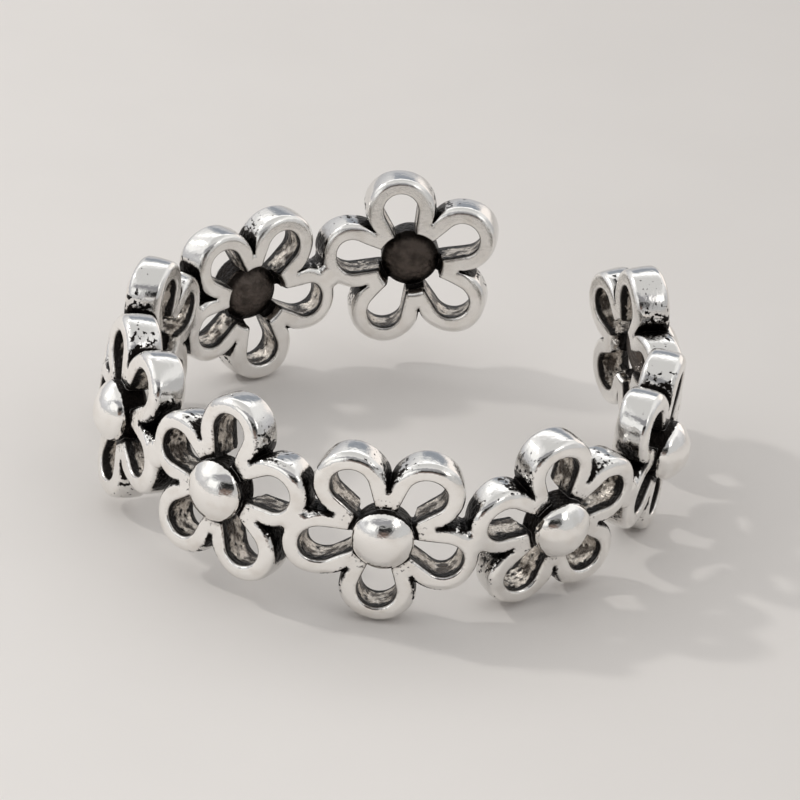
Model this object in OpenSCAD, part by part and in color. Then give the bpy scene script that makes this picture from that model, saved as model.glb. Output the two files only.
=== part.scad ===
// Open toe ring: nine pierced five-petal flowers cast as one band, with a ball in the middle of each.
// The origin is on the band's axis, level with the flower that faces -Y. The ends are sprung upwards, so the
// ring rests on three petals with its axis a little off Z.

/* [Band] */
// Radius of the band's outer face
band_r = 9; // [8:0.1:11]
// Thickness of the band between its outer and inner faces
wall = 1.2; // [0.9:0.05:1.5]
// How far neighbouring flowers run over each other, along the middle of the wall
flower_overlap = 0.4; // [0.3:0.05:0.6]
// Radius of the cast web that joins two neighbouring petals
junction_r = 0.5; // [0.4:0.02:0.54]
// Direction that the middle flower faces, in degrees round the axis
middle_angle = 236; // [0:1:359]
// Lean of the resting band round X, in degrees
lean_x = -0.95; // [-4:0.05:4]
// Lean of the resting band round Y, in degrees
lean_y = 3.35; // [-4:0.05:4]

/* [Flower] */
// Distance from a flower's middle to the middle of a petal's round end
petal_at = 1.9; // [1.7:0.05:2.1]
// Radius of a petal's round end
petal_r = 1.08; // [1:0.02:1.2]
// Radius at which the notches between the petals stop
notch_r = 1.6; // [1.4:0.05:1.8]
// Width of the metal rim at a petal's tip
rim = 0.54; // [0.4:0.02:0.66]
// Radius of a slot's round outer end
slot_r = 0.52; // [0.4:0.02:0.56]
// Width of a slot where it opens into the hub
slot_neck = 0.76; // [0.5:0.02:0.84]

/* [Ball] */
// Radius of the ball in the middle of a flower
ball_r = 0.98; // [0.92:0.02:1.1]
// How far the ball stands out of the band's outer face
ball_proud = 0.75; // [0.5:0.05:0.95]
// How far the ball runs into the metal around its hole
ball_bite = 0.12; // [0.08:0.01:0.2]
// How far the ball's back lies under the band's inner face
back_recess = 0.3; // [0.15:0.05:0.4]

/* [Hidden] */
$fn = 48;
petals = 5;
petal_step = 360 / petals;
// A side petal's direction above or below the band's run, when the flower stands upright
side_lift = 90 - petal_step;
inner_r = band_r - wall;
mid_r = band_r - wall / 2;
hole_r = ball_r - ball_bite;
slot_at = petal_at + petal_r - rim - slot_r;
// A slot's straight sides stop inside the hub's hole
slot_in = hole_r / 2;
reach = petal_at + petal_r;
flower_pitch = 2 * (petal_at * cos(side_lift) + petal_r) - flower_overlap;
ball_centre_r = band_r + ball_proud - ball_r;
// Every blank runs this far past both faces before it is trimmed to the wall
spare = wall / 2;
// Height of the tube that the blanks are trimmed to, far past the flowers on either side
trim_h = 6 * reach;

// One row for each flower, from one free end to the other:
// its place along the band in pitches from the middle flower, its turn off upright in degrees,
// and its rise as a share of a flower's reach. Flowers point up and down by turns.
PLACE = 0;
TURN = 1;
RISE = 2;
FLOWERS = [
    [-4, -17, 0.37],
    [-2.97, -10, -0.02],
    [-2, -3, -0.09],
    [-1, 0, 0],
    [0, -2, 0.02],
    [0.97, 0, 0],
    [1.99, 4, 0.03],
    [3.02, 10, 0.19],
    [4.01, 8, 0.45]
];

// Degrees round the axis for a length along the middle of the wall
function degrees_for(length) = length / mid_r * 180 / PI;
function points_up(i) = i % 2 == 0;
function flower_along(i) = FLOWERS[i][PLACE] * flower_pitch;
function flower_rise(i) = FLOWERS[i][RISE] * reach;
// Direction of petal p of flower i, anticlockwise from the band's run as seen from outside
function petal_dir(i, p) = (points_up(i) ? 90 : 270) + FLOWERS[i][TURN] + petal_step * p;
// Place along the band and height of a point of flower i, at a distance from its middle
function spot(i, dir, distance) = [
    flower_along(i) + distance * cos(dir),
    flower_rise(i) + distance * sin(dir)
];
// The petals by which flower i meets the next flower and the one before
function next_petal(i) = points_up(i) ? petals - 1 : 1;
function last_petal(i) = points_up(i) ? 1 : petals - 1;
function junction(i) = (
    spot(i, petal_dir(i, next_petal(i)), petal_at)
    + spot(i + 1, petal_dir(i + 1, last_petal(i + 1)), petal_at)
) / 2;

// Puts its children on the band: X along the run, Y up, Z outwards from the axis
module on_band(place) {
    rotate([0, 0, middle_angle + degrees_for(place[0])])
        translate([0, 0, place[1]])
            rotate([90, 0, 90])
                children();
}

// A round bar through the wall
module bar(place, r) {
    on_band(place)
        translate([0, 0, inner_r - spare])
            cylinder(r = r, h = wall + 2 * spare);
}

module flower_blank(i) {
    bar(spot(i, 0, 0), notch_r);
    for (p = [0 : petals - 1])
        bar(spot(i, petal_dir(i, p), petal_at), petal_r);
}

// One slot: a round outer end and two straight sides that close in towards the hub
module slot(i, dir) {
    sides = [
        [0, slot_r],
        [slot_in - slot_at, slot_neck / 2],
        [slot_in - slot_at, -slot_neck / 2],
        [0, -slot_r]
    ];
    on_band(spot(i, dir, slot_at))
        rotate([0, 0, dir])
            translate([0, 0, inner_r - 2 * spare])
                linear_extrude(height = wall + 4 * spare)
                    union() {
                        circle(r = slot_r);
                        polygon(sides);
                    }
}

module flower_cuts(i) {
    on_band(spot(i, 0, 0))
        translate([0, 0, inner_r - 2 * spare])
            cylinder(r = hole_r, h = wall + 4 * spare);
    for (p = [0 : petals - 1])
        slot(i, petal_dir(i, p));
}

// The wall that every blank is trimmed to
module band_wall() {
    difference() {
        cylinder(r = band_r, h = trim_h, center = true, $fn = 128);
        cylinder(r = inner_r, h = trim_h + 1, center = true, $fn = 128);
    }
}

// One flower with its slots cut through, and the web to the next flower
module pierced_flower(i) {
    intersection() {
        difference() {
            union() {
                flower_blank(i);
                if (i < len(FLOWERS) - 1)
                    bar(junction(i), junction_r);
            }
            flower_cuts(i);
        }
        band_wall();
    }
}

// The ball, with its back cut off flat under the inner face
module ball(i) {
    on_band(spot(i, 0, 0))
        difference() {
            translate([0, 0, ball_centre_r])
                sphere(r = ball_r);
            translate([-ball_r, -ball_r, inner_r + back_recess - 2 * ball_r])
                cube(2 * ball_r);
        }
}

module flower_band() {
    color("silver")
        rotate([lean_x, lean_y, 0])
            union() {
                for (i = [0 : len(FLOWERS) - 1]) {
                    pierced_flower(i);
                    ball(i);
                }
            }
}

flower_band();
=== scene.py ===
import math

import bpy
import numpy as np
from mathutils import Matrix, Vector


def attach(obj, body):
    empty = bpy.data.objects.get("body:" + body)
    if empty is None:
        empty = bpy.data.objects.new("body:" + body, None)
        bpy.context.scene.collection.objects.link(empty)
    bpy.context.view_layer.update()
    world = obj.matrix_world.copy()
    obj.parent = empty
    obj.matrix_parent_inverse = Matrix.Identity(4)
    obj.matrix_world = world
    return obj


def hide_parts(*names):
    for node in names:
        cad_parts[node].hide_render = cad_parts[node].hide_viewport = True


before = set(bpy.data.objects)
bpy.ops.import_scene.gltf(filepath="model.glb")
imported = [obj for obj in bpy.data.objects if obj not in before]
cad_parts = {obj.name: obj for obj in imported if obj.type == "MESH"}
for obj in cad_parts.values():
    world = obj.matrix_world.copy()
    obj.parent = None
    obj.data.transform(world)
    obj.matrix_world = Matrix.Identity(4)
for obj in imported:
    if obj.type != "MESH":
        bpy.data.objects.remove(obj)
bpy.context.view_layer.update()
mm = 0.001

# the band as it would lie unrolled, in mm: s runs along it, v is height, w is depth under the outer face
band = {
    "outerRadius": 9.0,
    "wall": 1.2,
    "midRadius": 8.4,
    "flatness": 0.5,  # share of the band's curve that a flower doesn't take up
    "rigidHalf": 1.5,  # half length of the part of a flower that isn't blended with its neighbour
    "leanX": -0.95,
    "leanY": 3.35,
    "joinBlend": 0.12,
    "webRadius": 0.5,
}

# one row per flower: angle round the band and direction of a petal in degrees, rise of its middle,
# how far its ball stands out, how far it is pushed outwards, its yaw and its lean outwards in degrees,
# and its ball's share of the full size
flowerRows = np.array([
    [90.1, 2.5, 0.97, 0.75, 0, 4, 4, 0.9],
    [127.2, 45.6, -0.17, 0.75, 0, -2.6, 4.3, 0.95],
    [162.9, 17.0, -0.36, 0.75, 0, 1, 1, 1],
    [199.0, 51.5, 0.02, 0.80, 0.02, 4, -5, 0.94],
    [236.3, 17.6, 0.13, 0.73, -0.02, -2, -5, 1],
    [271.8, 54.0, -0.02, 0.68, 0, -4, 0, 1],
    [309.0, 23.3, 0.07, 0.83, 0, -2, 3.7, 0.93],
    [347.2, 62.0, 0.55, 0.82, 0, -1.4, 1.9, 0.93],
    [382.9, 24.4, 1.30, 0.75, 0.03, -2, -5, 1],
])

flower = {
    "petals": 5,
    "petalAt": 1.9,
    "petalRadius": 1.15,
    "notchRadius": 1.66,
    "notchBlend": 0.06,
    "frontRound": 0.26,
    "backRound": 0.2,
    "pinchAt": 1.75,  # where two petals meet: their rounding is smaller there
    "pinchReach": 0.6,
    "pinchShare": 0.35,
    "barrel": 0.05,  # how far the outer walls bulge
    "slotAt": 1.92,
    "slotRadius": 0.57,
    "slotNeckAt": 0.75,
    "slotNeckRadius": 0.25,
    "hubRadius": 0.92,
    "hubBlend": 0.06,
    "hubFlare": 0.22,  # how much wider the hub gets per wall thickness of depth
    "hubFlareFrom": 0.3,  # share of the wall at which it starts to widen
    "slotRound": 0.13,
}

ball = {
    "radius": 1.06,
    "dome": 1.25,
    "shoulder": 0.12,
    "capLevel": 0.06,  # height over the face at which its polish starts
    "capShadeRise": 0.2,  # how much higher it starts on the upper side, where the black above the foot is painted shade
    "capCentre": 0.1,  # the rise fades out this near to the ball's axis
    "footRadius": 0.96,  # the ball narrows to this over footHeight, down to the face
    "footHeight": 0.3,
    "backAt": 0.9,
    "backDome": 1.7,
    "blend": 0.05,
}

casting = {
    "voxel": 0.06,
    "roomInFront": 1.15,  # how far the grid reaches over the outer face, past the balls
    "margin": 0.2,  # how far it reaches past the metal on the other sides
    "triangles": 190000,
    "settlings": 3,  # how often the thinned net is moved back onto the surface
    "leastSlope": 0.2,
    "slopeStep": 0.002,
    "waveHeight": 0.014,
    "waveCount": 14,
    "waveLengths": (1.0, 3.0),
    "seed": 7,
    # how closed in a point is: the room left at these distances off the surface counts by these shares
    "roomProbes": ((0.12, 0.3), (0.3, 0.4), (0.6, 0.3)),
}

flowerS = np.radians(flowerRows[:, 0]) * band["midRadius"]
flowerTurn = np.radians(flowerRows[:, 1])
flowerRise = flowerRows[:, 2]
ballOut = flowerRows[:, 3]
flowerOut = flowerRows[:, 4]
flowerYaw = np.radians(flowerRows[:, 5])
flowerLean = np.radians(flowerRows[:, 6])
ballShare = flowerRows[:, 7]
flowerBend = band["outerRadius"] / (1 - band["flatness"])
petalStep = 2 * math.pi / flower["petals"]


def softMin(a, b, k):
    # the smaller of two distances, blended over k:
    # min(a, b) less h squared times k / 4, with h = 1 - |a - b| / k
    h = np.maximum(k - np.abs(a - b), 0) / k
    return np.minimum(a, b) - h * h * k * 0.25


def softMax(a, b, k):
    return -softMin(-a, -b, k)


def meetingPetal(i, side):
    # middle of the round end of the petal by which flower i meets the next one (side 1) or the last (side -1)
    turns = flowerTurn[i] + petalStep * np.arange(flower["petals"])
    turn = turns[np.argmax(side * np.cos(turns))]
    s = flowerS[i] + flower["petalAt"] * math.cos(turn)
    return np.array([s, flowerRise[i] + flower["petalAt"] * math.sin(turn)])


webs = np.array([
    (meetingPetal(i, 1) + meetingPetal(i + 1, -1)) / 2
    for i in range(len(flowerRows) - 1)
])


def slotField(x, y):
    # distance to a slot, which is a wide round end and a narrow one, joined by their two tangents
    length = flower["slotAt"] - flower["slotNeckAt"]
    slope = (flower["slotNeckRadius"] - flower["slotRadius"]) / length
    level = math.sqrt(1 - slope * slope)
    along = x - flower["slotNeckAt"]
    k = along * level - y * slope
    side = y * level + along * slope - flower["slotNeckRadius"]
    slot = np.where(k > length * level, np.hypot(along - length, y) - flower["slotRadius"], side)
    return np.where(k < 0, np.hypot(along, y) - flower["slotNeckRadius"], slot)


def pinchField(x, y):
    # share of the full rounding, which drops towards the point where two petals meet
    notchX = flower["pinchAt"] * math.cos(petalStep / 2)
    notchY = flower["pinchAt"] * math.sin(petalStep / 2)
    pinch = np.hypot(x - notchX, y - notchY) / flower["pinchReach"]
    return flower["pinchShare"] + (1 - flower["pinchShare"]) * np.clip(pinch, 0, 1)


def foldedFlower(s, v, i):
    # distances to the outline and to the slots of flower i, its share of the rounding, and the way from
    # its middle: its petals are folded onto one half petal, a disc that is joined to the flower's inner disc
    du = s - flowerS[i]
    dv = v - flowerRise[i]
    rho = np.hypot(du, dv)
    turn = np.arctan2(dv, du) - flowerTurn[i]
    turn = np.abs(turn - petalStep * np.round(turn / petalStep))
    x = rho * np.cos(turn)
    y = rho * np.sin(turn)
    lobe = np.hypot(x - flower["petalAt"], y) - flower["petalRadius"]
    outline = softMin(lobe, rho - flower["notchRadius"], flower["notchBlend"])
    hollow = softMin(slotField(x, y), rho - flower["hubRadius"], flower["hubBlend"])
    return outline, hollow, pinchField(x, y), du, dv


def neighbours(s):
    # the nearest flower, and the one on the other side of s (at the free ends, the one before)
    last = len(flowerS) - 1
    near = np.abs(s[..., None] - flowerS).argmin(-1)
    side = np.where(s > flowerS[near], 1, -1)
    other = np.clip(near + side, 0, last)
    return near, np.where(other == near, np.clip(near - side, 0, last), other)


def planField(s, v):
    # the band's plan, unrolled: outlines and slots of the two nearest flowers with the web between them,
    # the nearest flower, the way from its middle, and the share of the rounding
    near, other = neighbours(s)
    outlineA, hollowA, pinchA, du, dv = foldedFlower(s, v, near)
    outlineB, hollowB, pinchB, _, _ = foldedFlower(s, v, other)
    outline = softMin(outlineA, outlineB, band["joinBlend"])
    web = webs[np.minimum(near, other)]
    disc = np.hypot(s - web[..., 0], v - web[..., 1]) - band["webRadius"]
    outline = softMin(outline, disc, band["joinBlend"])
    return outline, np.minimum(hollowA, hollowB), near, du, dv, np.minimum(pinchA, pinchB)


rng = np.random.default_rng(casting["seed"])
waveDirs = rng.normal(size=(casting["waveCount"], 3))
waveLengths = rng.uniform(*casting["waveLengths"], casting["waveCount"])
waveDirs *= (2 * np.pi / waveLengths / np.linalg.norm(waveDirs, axis=1))[:, None]
wavePhase = rng.uniform(0, 2 * np.pi, casting["waveCount"])


def waviness(s, v, w):
    # slow unevenness of a hand-finished casting: a sum of sines in seeded directions
    total = np.zeros_like(s)
    for d, phase in zip(waveDirs, wavePhase):
        total += np.sin(d[0] * s + d[1] * v + d[2] * w + phase)
    return total * casting["waveHeight"] / math.sqrt(casting["waveCount"])


def knobField(plan, w):
    # distance to the ball: a round post that swells from its foot, capped by a high dome in front and
    # a low one behind
    _, _, near, du, dv, _ = plan
    share = ballShare[near]
    radius = ball["radius"] * share
    dome = ball["dome"] * share
    rho = np.hypot(du * band["outerRadius"] / band["midRadius"] * (1 - w / flowerBend), dv)
    cap = np.hypot(rho, w + ballOut[near] - dome) - dome
    back = np.hypot(rho, w - ball["backAt"] + ball["backDome"]) - ball["backDome"]
    swell = np.maximum(radius - ball["footRadius"], 0) * np.clip(-w / ball["footHeight"], 0, 1)
    post = rho - np.minimum(radius, ball["footRadius"]) - swell
    return softMax(softMax(post, cap, ball["shoulder"]), back, ball["blend"])


def solidField(plan, w):
    # distance to the metal: the outline run through the wall with rounded edges and barrelled sides,
    # less the slots and the hub, plus the ball
    outline, hollow, near, du, dv, pinch = plan
    half = band["wall"] / 2
    r = np.where(w < half, flower["frontRound"], flower["backRound"]) * pinch
    qx = outline + r + flower["barrel"] * (w / half - 1) ** 2
    qy = np.abs(w - half) - half + r
    body = np.hypot(np.maximum(qx, 0), np.maximum(qy, 0)) + np.minimum(np.maximum(qx, qy), 0) - r
    flare = flower["hubFlare"] * np.clip(w / band["wall"] - flower["hubFlareFrom"], 0, 1)
    hub = np.hypot(du, dv) - flower["hubRadius"] - flare
    body = softMax(body, -np.minimum(hollow, hub), flower["slotRound"])
    return softMin(body, knobField(plan, w), ball["blend"])


def fieldAt(p):
    # distance to the finished casting: the solid's, plus its unevenness
    s, v, w = p[:, 0], p[:, 1], p[:, 2]
    return solidField(planField(s, v), w) + waviness(s, v, w)


def slopeAt(p):
    # direction in which the field grows, from differences across a small step
    step = casting["slopeStep"]
    g = np.empty_like(p)
    for axis in range(3):
        shift = np.zeros(3)
        shift[axis] = step
        g[:, axis] = (fieldAt(p + shift) - fieldAt(p - shift)) / (2 * step)
    return g


def placeOn(i, p):
    # flower i rolled onto a wide cylinder, turned by its yaw and lean about its middle, and set on the band
    s, v, w = p[:, 0], p[:, 1], p[:, 2]
    phi = (s - flowerS[i]) * band["outerRadius"] / band["midRadius"] / flowerBend
    x = (flowerBend - w) * np.sin(phi)
    z = (flowerBend - w) * np.cos(phi) - flowerBend
    y = v - flowerRise[i]
    yaw, lean, a = flowerYaw[i], flowerLean[i], flowerS[i] / band["midRadius"]
    x, z = x * np.cos(yaw) + z * np.sin(yaw), z * np.cos(yaw) - x * np.sin(yaw)
    y, z = y * np.cos(lean) - z * np.sin(lean), z * np.cos(lean) + y * np.sin(lean)
    r = band["outerRadius"] + flowerOut[i] + z
    return np.stack([r * np.cos(a) - x * np.sin(a), r * np.sin(a) + x * np.cos(a), flowerRise[i] + y], 1)


def bend(p):
    # each point goes where its flower goes; between two flowers their places are blended with a smooth step
    left = np.clip(np.searchsorted(flowerS, p[:, 0]) - 1, 0, len(flowerS) - 2)
    gap = flowerS[left + 1] - flowerS[left]
    t = np.clip((p[:, 0] - flowerS[left] - band["rigidHalf"]) / (gap - 2 * band["rigidHalf"]), 0, 1)
    t = (t * t * (3 - 2 * t))[:, None]
    return placeOn(left, p) * (1 - t) + placeOn(left + 1, p) * t


def bendNormals(p, g):
    # a gradient turns with the cross products of the bend's own slopes; depth runs inwards, hence the minus
    shifts = np.eye(3) * casting["slopeStep"]
    ps, pv, pw = (bend(p + shift) - bend(p - shift) for shift in shifts)
    n = g[:, :1] * np.cross(pv, pw) + g[:, 1:2] * np.cross(pw, ps) + g[:, 2:] * np.cross(ps, pv)
    return -n / np.linalg.norm(n, axis=1)[:, None]


def surfaceNet(field, origin, size):
    # one vertex in each cell that the surface crosses, at the mean of its edge crossings,
    # and a quad round each crossed edge
    inside = field < 0
    corners = [(i, j, k) for i in (0, 1) for j in (0, 1) for k in (0, 1)]
    nx, ny, nz = (n - 1 for n in field.shape)
    count = sum(inside[i:i + nx, j:j + ny, k:k + nz].astype(np.int8) for i, j, k in corners)
    cells = np.argwhere((count > 0) & (count < 8))
    values = {c: field[cells[:, 0] + c[0], cells[:, 1] + c[1], cells[:, 2] + c[2]] for c in corners}
    total = np.zeros((len(cells), 3))
    crossings = np.zeros(len(cells))
    for a in corners:
        for axis in range(3):
            if a[axis]:
                continue
            b = tuple(a[n] + (n == axis) for n in range(3))
            fa, fb = values[a], values[b]
            hit = (fa < 0) != (fb < 0)
            t = np.where(hit, fa / np.where(hit, fa - fb, 1), 0)
            at = np.tile(np.array(a, float), (len(cells), 1))
            at[:, axis] += t
            total += at * hit[:, None]
            crossings += hit
    points = origin + (cells + total / crossings[:, None]) * size

    number = np.full((nx, ny, nz), -1, np.int32)
    number[cells[:, 0], cells[:, 1], cells[:, 2]] = np.arange(len(cells))
    quads = []
    for axis in range(3):
        one, two = (axis + 1) % 3, (axis + 2) % 3
        turned = np.moveaxis(inside, axis, 0)
        edge = np.argwhere(np.moveaxis(turned[:-1] != turned[1:], 0, axis))
        edge = edge[(edge[:, one] > 0) & (edge[:, two] > 0)]
        edge = edge[(edge[:, one] < inside.shape[one] - 1) & (edge[:, two] < inside.shape[two] - 1)]
        around = []
        for a, b in ((0, 0), (1, 0), (1, 1), (0, 1)):
            c = edge.copy()
            c[:, one] -= a
            c[:, two] -= b
            around.append(number[c[:, 0], c[:, 1], c[:, 2]])
        quad = np.stack(around, 1)
        leaves = inside[edge[:, 0], edge[:, 1], edge[:, 2]]
        quads.append(np.where(leaves[:, None], quad, quad[:, ::-1]))
    return points, np.concatenate(quads)


def leanMatrix():
    # the resting band leans round X first, then round Y
    leanX = Matrix.Rotation(math.radians(band["leanX"]), 3, "X")
    return Matrix.Rotation(math.radians(band["leanY"]), 3, "Y") @ leanX


def unrolledNet():
    # the solid's field on a regular grid over the unrolled band, netted
    reach = flower["petalAt"] + flower["petalRadius"]
    margin = casting["margin"]
    front, back = -casting["roomInFront"], band["wall"] + margin
    low = np.array([flowerS[0] - reach - margin, flowerRise.min() - reach - margin, front])
    high = np.array([flowerS[-1] + reach + margin, flowerRise.max() + reach + margin, back])
    axes = [np.arange(a, b, casting["voxel"]) for a, b in zip(low, high)]
    s, v = np.meshgrid(axes[0], axes[1], indexing="ij")
    plan = [part[..., None] for part in planField(s, v)]
    field = solidField(plan, axes[2][None, None, :])
    return surfaceNet(field, low, casting["voxel"])


def thinned(points, quads):
    # a mesh of triangles, with fewer of them where the net is flat
    net = bpy.data.meshes.new("band_net")
    net.from_pydata(points, [], quads[:, ::-1])  # depth runs inwards, so bending mirrors the net
    holder = bpy.data.objects.new("band_net", net)
    bpy.context.scene.collection.objects.link(holder)
    thin = holder.modifiers.new("thin", "DECIMATE")
    thin.ratio = min(1.0, casting["triangles"] / (2 * len(quads)))
    mesh = bpy.data.meshes.new_from_object(holder.evaluated_get(bpy.context.evaluated_depsgraph_get()))
    bpy.data.objects.remove(holder)
    return mesh


def writeMasks(mesh, p, n):
    # what the material needs to know of each vertex: how closed in it is, its distances to the slots,
    # the outline, the notches and the ball, its height over the start of the ball's polish (which starts
    # higher on the upper side, for painted shade), and its unrolled place
    shut = np.zeros(len(p))
    for reach, share in casting["roomProbes"]:
        shut += share * np.clip(1 - fieldAt(p + n * reach) / reach, 0, 1)
    plan = planField(p[:, 0], p[:, 1])
    outline, hollow, _, du, dv, _ = plan
    wave = waviness(*p.T)
    rho = np.hypot(du, dv)
    upward = np.clip(dv / np.maximum(rho, ball["capCentre"]), 0, 1)
    masks = {
        "shut": shut,
        "hollow": hollow - wave,
        "edge": outline + wave,
        "notch": rho - flower["notchRadius"],
        "knob": knobField(plan, p[:, 2]) + wave,
        "cap": -p[:, 2] - ball["capLevel"] - ball["capShadeRise"] * upward,
    }
    for name, values in masks.items():
        layer = mesh.attributes.new(name, "FLOAT", "POINT")
        layer.data.foreach_set("value", values.astype(np.float32))
    layer = mesh.attributes.new("unrolled", "FLOAT_VECTOR", "POINT")
    layer.data.foreach_set("vector", p.astype(np.float32).ravel())


def makeFlowerBand():
    points, quads = unrolledNet()
    print("flower band: net of", len(points), "points and", len(quads), "quads")
    mesh = thinned(points, quads)
    mesh.name = "flower_band_silver"

    p = np.empty(len(mesh.vertices) * 3)
    mesh.vertices.foreach_get("co", p)
    p = p.reshape(-1, 3)
    for _ in range(casting["settlings"]):
        g = slopeAt(p)
        p = p - (fieldAt(p) / np.maximum((g * g).sum(1), casting["leastSlope"]))[:, None] * g
    g = slopeAt(p)

    lean = np.array(leanMatrix())
    world = bend(p) @ lean.T * mm
    normals = bendNormals(p, g) @ lean.T
    mesh.vertices.foreach_set("co", world.ravel())
    mesh.shade_smooth()
    mesh.normals_split_custom_set_from_vertices(normals)
    writeMasks(mesh, p, g / np.linalg.norm(g, axis=1)[:, None])

    piece = bpy.data.objects.new("flower_band_silver", mesh)
    bpy.context.scene.collection.objects.link(piece)
    print("flower band:", len(mesh.polygons), "triangles")
    return piece


def nodeTree(name):
    material = bpy.data.materials.new(name)
    material.use_nodes = True
    tree = material.node_tree
    return material, tree, tree.nodes["Principled BSDF"]


def feed(tree, socket, value):
    # a socket takes either another node's output or a plain number
    if isinstance(value, bpy.types.NodeSocket):
        tree.links.new(value, socket)
    else:
        socket.default_value = value


def calc(tree, operation, *values):
    node = tree.nodes.new("ShaderNodeMath")
    node.operation = operation
    for socket, value in zip(node.inputs, values):
        feed(tree, socket, value)
    return node.outputs[0]


def fade(tree, value, start, end, low=0.0, high=1.0):
    # a smooth step from low to high while value goes from start to end
    node = tree.nodes.new("ShaderNodeMapRange")
    node.interpolation_type = "SMOOTHSTEP"
    numbers = {"Value": value, "From Min": start, "From Max": end, "To Min": low, "To Max": high}
    for name, number in numbers.items():
        feed(tree, node.inputs[name], number)
    return node.outputs["Result"]


def blendColour(tree, share, a, b):
    node = tree.nodes.new("ShaderNodeMix")
    node.data_type = "RGBA"
    feed(tree, node.inputs[0], share)
    feed(tree, node.inputs[6], a)
    feed(tree, node.inputs[7], b)
    return node.outputs[2]


def noise(tree, where, scale, detail, stretch=(1, 1, 1)):
    node = tree.nodes.new("ShaderNodeTexNoise")
    spread = tree.nodes.new("ShaderNodeMapping")
    spread.inputs["Scale"].default_value = stretch
    feed(tree, spread.inputs["Vector"], where)
    feed(tree, node.inputs["Vector"], spread.outputs["Vector"])
    node.inputs["Scale"].default_value = scale
    node.inputs["Detail"].default_value = detail
    return node.outputs["Fac"]


def attribute(tree, name, output="Fac"):
    node = tree.nodes.new("ShaderNodeAttribute")
    node.attribute_name = name
    return node.outputs[output]


def parts(tree, where):
    # the X, Y and Z outputs of a vector
    split = tree.nodes.new("ShaderNodeSeparateXYZ")
    feed(tree, split.inputs[0], where)
    return split.outputs


silver = {
    "polished": (0.95, 0.935, 0.91, 1),
    "smudged": (0.87, 0.84, 0.80, 1),
    "black": (0.012, 0.010, 0.009, 1),
    "film": (0.86, 0.79, 0.705, 1),
    "filmDark": (0.095, 0.078, 0.064, 1),
    "grime": (0.42, 0.385, 0.35, 1),
    "outerWall": (0.76, 0.748, 0.73, 1),
    "hubBack": (0.12, 0.10, 0.088, 1),
    "roughPolished": 0.11,
    "roughInside": 0.24,
    "roughPatina": 0.36,
    "filmDull": 0.5,
    "filmMetallic": 0.6,
    "bumpDistance": 0.00008,
}

# scale, detail and stretch of each noise, over places in mm
grain = {
    "fine": (9, 5),
    "coarse": (2.3, 3),
    "specks": (6.5, 5),
    "streak": (5, 5, (0.8, 0.8, 1.15)),
    "film": (2.6, 4, (0.8, 0.8, 1)),
    "smudge": (1.7, 5),
    "bump": (7, 4),
}

# where each mask starts and where it is full, with its least and greatest share if they aren't 0 and 1
limits = {
    "onBall": (0.035, 0.01),
    "foot": (0.075, 0.05),
    "back": (0.5, 0.62),
    "hubRing": (-0.92, -0.72, 0, 0.9),
    "backMottleAndPaintedGlints": (0.3, 0.6, 0.5, 1),
    "frontHalf": (1.0, 0.85),
    "crevice": (0.6, 0.74),
    "grime": (0.42, 0.66, 0, 0.55),
    "notchEnd": (0.1, -0.02),
    "notchRim": (0.0, 0.04),
    "crowd": (1.4, 0.2, 0, 0.8),
    "pits": (0.69, 0.74),
    "pitsOnWall": (-0.16, -0.07),
    "pitsInFront": (1.1, 0.9),
    "hubPits": (0.57, 0.67, 0, 0.85),
    "hubPitsReach": (-0.26, -0.44),
    "slotWall": (0.1, 0.05),
    "slotWallFront": (0.03, 0.09),
    "slotWallBack": (1.19, 1.13),
    "lipFront": (0.42, 0.14, 0, 0.4),
    "lipBack": (0.9, 1.1, 0, 0.4),
    "streak": (0.53, 0.67),
    "filmTone": (0.4, 0.56),
    "smudge": (0.45, 0.75),
    "outerWall": (-0.14, -0.03),
    "awayFromSlot": (0.1, 0.2),
    "nearSlot": (0.15, 0.03),
    "slotGrime": (0.5, 0.65, 0, 0.4),
    "insideFace": (1.0, 1.15),
    "bump": (0, 0.5, 0.12, 1.0),
}

# how much of a noise or of another mask is added to the value that a mask is taken from
ragged = {
    "foot": 0.12,
    "hubRing": 0.2,
    "creviceFine": 0.35,
    "creviceCoarse": 0.2,
    "notchEnd": -0.6,
    "notchRim": 0.26,
    "pits": 0.34,
}


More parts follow.
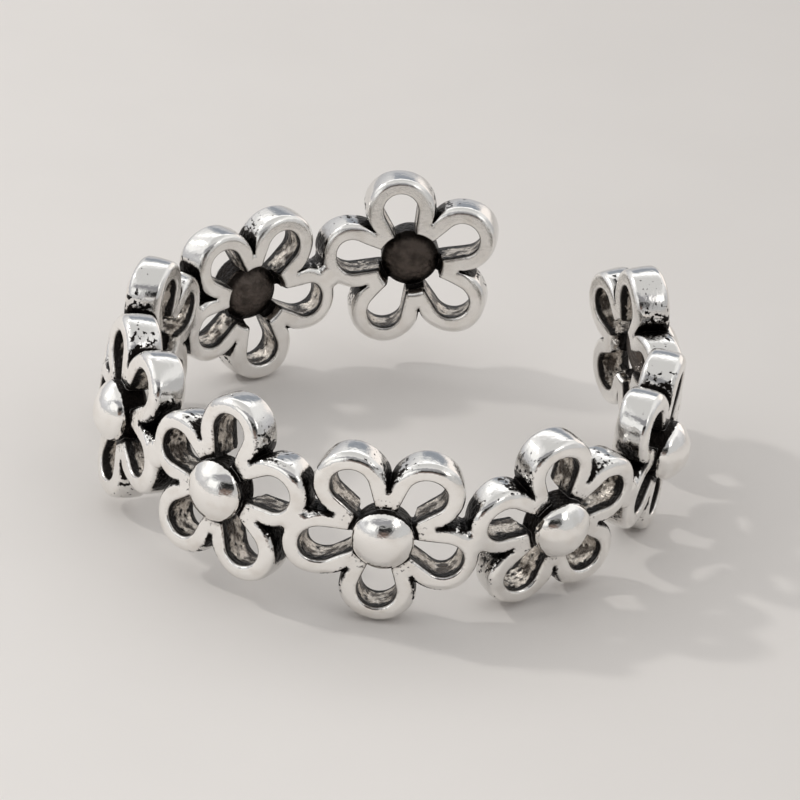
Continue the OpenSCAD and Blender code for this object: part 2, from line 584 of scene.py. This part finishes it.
def silverMaterial():
    material, tree, shader = nodeTree("antique_silver")
    where = attribute(tree, "unrolled", "Vector")  # s, v and w in mm
    depth = parts(tree, where)["Z"]
    names = ("shut", "hollow", "edge", "notch", "knob", "cap")
    shut, hollow, edge, notch, knob, cap = (attribute(tree, name) for name in names)
    noises = (noise(tree, where, *settings) for settings in grain.values())
    fine, coarse, specks, streak, filmNoise, smudgeNoise, bumpNoise = noises

    def mask(value, name):
        return fade(tree, value, *limits[name])

    def roughen(value, added, name):
        return calc(tree, "MULTIPLY_ADD", added, ragged[name], value)

    def times(share, *others):
        for other in others:
            share = calc(tree, "MULTIPLY", share, other)
        return share

    def most(share, *others):
        for other in others:
            share = calc(tree, "MAXIMUM", share, other)
        return share

    onBall = mask(knob, "onBall")
    offBall = calc(tree, "SUBTRACT", 1, onBall)
    frontHalf = mask(depth, "frontHalf")
    # the ball is polished on its cap alone: its foot is black with patina, and on the upper side the black
    # reaches higher as painted shade; its back is a dull brown with a black rim
    footPatinaAndShade = times(onBall, mask(roughen(cap, fine, "foot"), "foot"))
    backHere = times(onBall, mask(depth, "back"))
    hubRing = times(backHere, mask(roughen(notch, fine, "hubRing"), "hubRing"))
    # crevices and the bottoms of the notches are black, with a broken edge
    closed = roughen(roughen(shut, coarse, "creviceCoarse"), fine, "creviceFine")
    creviceBlack = times(offBall, mask(closed, "crevice"))
    notchEnd = mask(roughen(notch, fine, "notchEnd"), "notchEnd")
    notchBlack = times(notchEnd, mask(roughen(edge, fine, "notchRim"), "notchRim"), frontHalf)
    # pits gather on the outer walls and round the hub, more of them the nearer they are to a crevice
    crowd = most(shut, mask(notch, "crowd"))
    pits = mask(roughen(specks, crowd, "pits"), "pits")
    pits = times(pits, mask(edge, "pitsOnWall"), mask(depth, "pitsInFront"))
    hubPits = times(mask(fine, "hubPits"), mask(notch, "hubPitsReach"), times(offBall, frontHalf))
    # the slots' walls keep a brown film with streaks, darkest next to the faces
    slotWall = times(mask(hollow, "slotWall"), mask(depth, "slotWallFront"), mask(depth, "slotWallBack"))
    slotWall = times(slotWall, offBall)
    lip = most(mask(depth, "lipFront"), mask(depth, "lipBack"))
    streakBlack = times(slotWall, mask(calc(tree, "ADD", streak, lip), "streak"))
    black = most(footPatinaAndShade, creviceBlack, notchBlack, pits, hubPits, streakBlack)

    film = blendColour(tree, mask(filmNoise, "filmTone"), silver["filmDark"], silver["film"])
    outerWall = times(mask(edge, "outerWall"), mask(hollow, "awayFromSlot"), offBall)
    nearSlot = times(mask(hollow, "nearSlot"), mask(fine, "slotGrime"))
    grime = times(most(nearSlot, mask(closed, "grime")), offBall)
    colour = blendColour(tree, mask(smudgeNoise, "smudge"), silver["polished"], silver["smudged"])
    for share, paint in (
        (outerWall, silver["outerWall"]),
        (grime, silver["grime"]),
        (slotWall, film),
        (black, silver["black"]),
        # the ball's back: brown mottle whose lighter patches are partly painted highlights
        (times(backHere, mask(coarse, "backMottleAndPaintedGlints")), silver["hubBack"]),
        (hubRing, silver["black"]),
    ):
        colour = blendColour(tree, share, colour, paint)
    feed(tree, shader.inputs["Base Color"], colour)

    dull = most(black, times(slotWall, silver["filmDull"]))
    shiny = fade(tree, depth, *limits["insideFace"], silver["roughPolished"], silver["roughInside"])
    feed(tree, shader.inputs["Roughness"], fade(tree, dull, 0, 1, shiny, silver["roughPatina"]))
    feed(tree, shader.inputs["Metallic"], fade(tree, slotWall, 0, 1, 1, silver["filmMetallic"]))
    bump = tree.nodes.new("ShaderNodeBump")
    bump.inputs["Distance"].default_value = silver["bumpDistance"]
    feed(tree, bump.inputs["Strength"], mask(dull, "bump"))
    feed(tree, bump.inputs["Height"], calc(tree, "ADD", bumpNoise, times(streak, slotWall)))
    feed(tree, shader.inputs["Normal"], bump.outputs["Normal"])
    return material


stage = {
    "floorSize": 1.6,
    "paintedLitSide": (0.90, 0.866, 0.836, 1),
    "paintedShadeSide": (0.645, 0.617, 0.593, 1),
    "slant": 0.4,  # the painted light falloff darkens the sheet along X, and by this share along Y
    "falloff": (-0.05, 0.066),  # from and to here, in metres
    "mottle": (160, 3),
    "mottleShare": 0.012,
    "roughness": 0.85,
    "specular": 0.2,
}


def floorMaterial():
    # a pale sheet with a painted light falloff, lighter on the left, with faint mottling
    material, tree, shader = nodeTree("floor_painted_falloff")
    where = tree.nodes.new("ShaderNodeTexCoord").outputs["Object"]
    x, y, _ = parts(tree, where)
    across = calc(tree, "MULTIPLY_ADD", y, stage["slant"], x)
    across = calc(tree, "MULTIPLY_ADD", noise(tree, where, *stage["mottle"]), stage["mottleShare"], across)
    share = fade(tree, across, *stage["falloff"])
    feed(tree, shader.inputs["Base Color"], blendColour(tree, share, stage["paintedLitSide"], stage["paintedShadeSide"]))
    shader.inputs["Roughness"].default_value = stage["roughness"]
    shader.inputs["Specular IOR Level"].default_value = stage["specular"]
    return material


def makeFloor(height):
    half = stage["floorSize"] / 2
    corners = [(x * half, y * half, height) for x, y in ((-1, -1), (1, -1), (1, 1), (-1, 1))]
    mesh = bpy.data.meshes.new("floor")
    mesh.from_pydata(corners, [], [(0, 1, 2, 3)])
    mesh.materials.append(floorMaterial())
    floor = bpy.data.objects.new("floor", mesh)
    bpy.context.scene.collection.objects.link(floor)


# fitted to the photograph, in the band's own frame before it leans: angles in degrees, lengths in mm;
# right, up and distance say where the origin lies as the camera sees it
view = {
    "lens": 270.0,
    "sensor": 36,
    "clipStart": 10,
    "elevation": 27.701,
    "roll": -7.101,
    "right": -0.283,
    "up": -0.0698,
    "distance": 192.302,
}


def makeCamera():
    # it looks down by its elevation, is rolled about the line ahead, and leans with the band
    e, roll = math.radians(view["elevation"]), math.radians(view["roll"])
    right = Vector((1, 0, 0))
    up = Vector((0, math.sin(e), math.cos(e)))
    ahead = Vector((0, math.cos(e), -math.sin(e)))
    place = -view["right"] * right - view["up"] * up - view["distance"] * ahead
    camRight = math.cos(roll) * right - math.sin(roll) * up
    camUp = math.sin(roll) * right + math.cos(roll) * up
    lean = leanMatrix()
    turn = Matrix((lean @ camRight, lean @ camUp, lean @ -ahead)).transposed()
    data = bpy.data.cameras.new("camera")
    data.lens = view["lens"]
    data.sensor_width = view["sensor"]
    data.clip_start = view["clipStart"] * mm
    camera = bpy.data.objects.new("camera", data)
    camera.matrix_world = Matrix.Translation(lean @ place * mm) @ turn.to_4x4()
    bpy.context.scene.collection.objects.link(camera)
    bpy.context.scene.camera = camera


# azimuths run from +Y towards -X, and all angles are in degrees
studio = {
    "lamps": {
        "key": {"azimuth": 71, "elevation": 41, "distance": 0.6, "size": 0.036, "power": 0.62},
        "fill": {"azimuth": 228, "elevation": 38, "distance": 0.6, "size": 0.2, "power": 0.12},
    },
    "lampColour": (1, 0.98, 0.95),
    # height on the sky's sphere, and colour
    "sky": [
        (0.0, (0.33, 0.33, 0.34)),
        (0.25, (0.45, 0.45, 0.46)),
        (0.55, (0.66, 0.657, 0.65)),
        (0.8, (0.63, 0.628, 0.622)),
        (1.0, (0.59, 0.59, 0.6)),
    ],
    "strength": 1.55,
    # soft panels on the sky, later ones over earlier ones:
    # azimuth, elevation, half width, half height, softness of the edge, colour
    "panels": [
        (-32, 12, 18, 14, 6, (0.80, 0.75, 0.71)),
        (-5, 25, 16, 10, 4, (0.22, 0.24, 0.27)),
        (6, 45, 30, 5, 4, (1.1, 1.1, 1.1)),
        (84, 30, 13, 9, 5, (0.78, 0.78, 0.77)),
        (180, 48, 64, 11, 5, (0.2, 0.2, 0.21)),
        (0, 90, 31, 31, 6, (0.49, 0.487, 0.48)),
        (134, 23, 19, 11, 6, (0.7, 0.7, 0.69)),
        (180, 4, 105, 8, 5, (0.38, 0.38, 0.38)),
        (-125, 20, 45, 18, 8, (0.36, 0.36, 0.36)),
        (-130, 36, 9, 5, 4, (0.6, 0.6, 0.6)),
        (179, 10, 18, 8, 6, (0.13, 0.095, 0.08)),
        (184, 25, 24, 11, 7, (0.01, 0.01, 0.01)),
    ],
    "ownHalf": (0.0, 0.1),  # a panel shows only in its own half of the sky
}


def skyward(azimuth, elevation):
    # the direction to a place in the sky, of length 1
    a, e = math.radians(azimuth), math.radians(elevation)
    return Vector((-math.sin(a) * math.cos(e), math.cos(a) * math.cos(e), math.sin(e)))


def makeLamp(name, lamp):
    away = skyward(lamp["azimuth"], lamp["elevation"])
    data = bpy.data.lights.new(name, "AREA")
    data.size = lamp["size"]
    data.energy = lamp["power"]
    data.color = studio["lampColour"]
    holder = bpy.data.objects.new(name, data)
    turn = away.to_track_quat("Z", "Y").to_matrix().to_4x4()
    holder.matrix_world = Matrix.Translation(away * lamp["distance"]) @ turn
    bpy.context.scene.collection.objects.link(holder)


def panelShare(tree, where, azimuth, elevation, halfWidth, halfHeight, edge):
    # how far a sky direction lies in a panel: its angles to the side and upwards from the panel's middle,
    # each faded out across the panel's edge
    a = math.radians(azimuth)
    away = skyward(azimuth, elevation)
    side = Vector((math.cos(a), math.sin(a), 0))
    rise = away.cross(side) * -1
    cosines = []
    for axis in (away, side, rise):
        dot = tree.nodes.new("ShaderNodeVectorMath")
        dot.operation = "DOT_PRODUCT"
        feed(tree, dot.inputs[0], where)
        dot.inputs[1].default_value = axis
        cosines.append(dot.outputs["Value"])
    share = fade(tree, cosines[0], *studio["ownHalf"])
    for cosine, half in ((cosines[1], halfWidth), (cosines[2], halfHeight)):
        angle = calc(tree, "ABSOLUTE", calc(tree, "ARCTAN2", cosine, cosines[0]))
        within = fade(tree, angle, math.radians(half + edge), math.radians(half - edge))
        share = calc(tree, "MULTIPLY", share, within)
    return share


def makeWorld():
    world = bpy.data.worlds.new("studio")
    world.use_nodes = True
    tree = world.node_tree
    where = tree.nodes.new("ShaderNodeTexCoord").outputs["Generated"]
    ramp = tree.nodes.new("ShaderNodeValToRGB")
    stops = ramp.color_ramp.elements
    while len(stops) < len(studio["sky"]):
        stops.new(0.5)
    for stop, (place, colour) in zip(stops, studio["sky"]):
        stop.position = place
        stop.color = (*colour, 1)
    feed(tree, ramp.inputs[0], parts(tree, where)["Z"])
    light = ramp.outputs["Color"]
    for *panel, colour in studio["panels"]:
        light = blendColour(tree, panelShare(tree, where, *panel), light, (*colour, 1))
    background = tree.nodes["Background"]
    feed(tree, background.inputs["Color"], light)
    background.inputs["Strength"].default_value = studio["strength"]
    bpy.context.scene.world = world


def makeLights():
    for name, lamp in studio["lamps"].items():
        makeLamp(name, lamp)
    makeWorld()
    bpy.context.scene.view_settings.view_transform = "Standard"
    print("lights:", len(studio["lamps"]), "lamps and", len(studio["panels"]), "sky panels")


ring = makeFlowerBand()
ring.data.materials.append(silverMaterial())
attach(ring, "root")
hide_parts("flower_band")
makeFloor(min(v.co.z for v in ring.data.vertices))
makeCamera()
makeLights()
print("scene ready")
